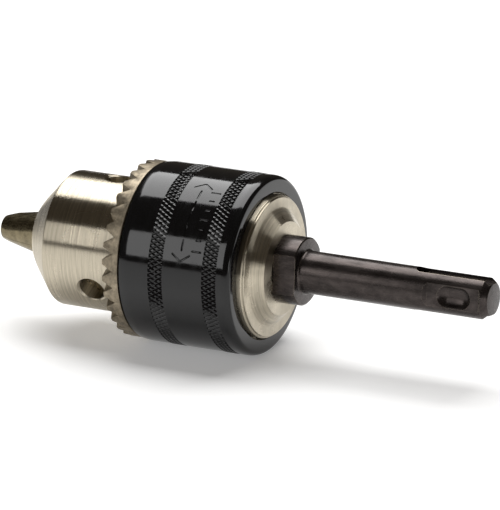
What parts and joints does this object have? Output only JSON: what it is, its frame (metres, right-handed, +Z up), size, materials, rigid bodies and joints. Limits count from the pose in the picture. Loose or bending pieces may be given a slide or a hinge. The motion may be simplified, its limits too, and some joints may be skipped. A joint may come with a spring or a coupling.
{
  "type": "drill chuck",
  "caption": "Key-operated three-jaw drill chuck with toothed ring and knurled grip shell, on an SDS-plus adapter shank with spanner flats.",
  "frame": {"origin": "centre of the shank's end face, where it meets the machine's tool holder", "axes": "+X along the chuck axis from the jaws to the shank's end, +Z up with one key hole turned almost up, +Y to the left seen from the jaws' end"},
  "size_m": [0.127, 0.0426, 0.0426],
  "materials": {
    "nickel": "turned and satin nickel-plated steel",
    "tooth_steel": "hardened bare steel, ground or milled",
    "black_gloss": "glossy black oxide on knurled steel",
    "black_oxide": "satin brown-black oxide steel",
    "bearing_steel": "polished bearing steel",
    "cage_brass": "stamped brass"
  },
  "bodies": {
    "body": {"chuck_body": "nickel", "sds_adapter": "black_oxide", "lock_screw": "black_oxide", "bearing_race": "bearing_steel"},
    "sleeve": {"toothed_ring": "tooth_steel", "grip_shell": "black_gloss", "nut_half_1": "tooth_steel", "nut_half_2": "tooth_steel"},
    "cage": {"ball_cage": "cage_brass", "bearing_ball_01": "bearing_steel", "bearing_ball_02": "bearing_steel", "bearing_ball_03": "bearing_steel", "bearing_ball_04": "bearing_steel", "bearing_ball_05": "bearing_steel", "bearing_ball_06": "bearing_steel", "bearing_ball_07": "bearing_steel", "bearing_ball_08": "bearing_steel", "bearing_ball_09": "bearing_steel", "bearing_ball_10": "bearing_steel", "bearing_ball_11": "bearing_steel", "bearing_ball_12": "bearing_steel"},
    "jaw_1_body": {"jaw_1": "tooth_steel"},
    "jaw_2_body": {"jaw_2": "tooth_steel"},
    "jaw_3_body": {"jaw_3": "tooth_steel"}
  },
  "joints": [
    {"name": "sleeve_turn", "type": "hinge", "parent": "body", "child": "sleeve", "pos_m": [-0.0714, 0, 0], "axis": [-1, 0, 0], "range_deg": [0, 4133]},
    {"name": "cage_turn", "type": "hinge", "parent": "body", "child": "cage", "pos_m": [-0.0816, 0, 0], "axis": [-1, 0, 0], "range_deg": [0, 2067]},
    {"name": "jaw_1_slide", "type": "slide", "parent": "body", "child": "jaw_1_body", "axis": [0.9681, -0.2123, 0.1327], "range_m": [0, 0.02298]},
    {"name": "jaw_2_slide", "type": "slide", "parent": "body", "child": "jaw_2_body", "axis": [0.9681, -0.0087, -0.2502], "range_m": [0, 0.02298]},
    {"name": "jaw_3_slide", "type": "slide", "parent": "body", "child": "jaw_3_body", "axis": [0.9681, 0.2211, 0.1175], "range_m": [0, 0.02298]}
  ],
  "couplings": [
    {"joint": "cage_turn", "follows": "sleeve_turn", "ratio": 0.5},
    {"joint": "jaw_1_slide", "follows": "sleeve_turn", "m_per_rad": 0.00031831},
    {"joint": "jaw_2_slide", "follows": "sleeve_turn", "m_per_rad": 0.00031831},
    {"joint": "jaw_3_slide", "follows": "sleeve_turn", "m_per_rad": 0.00031831}
  ]
}
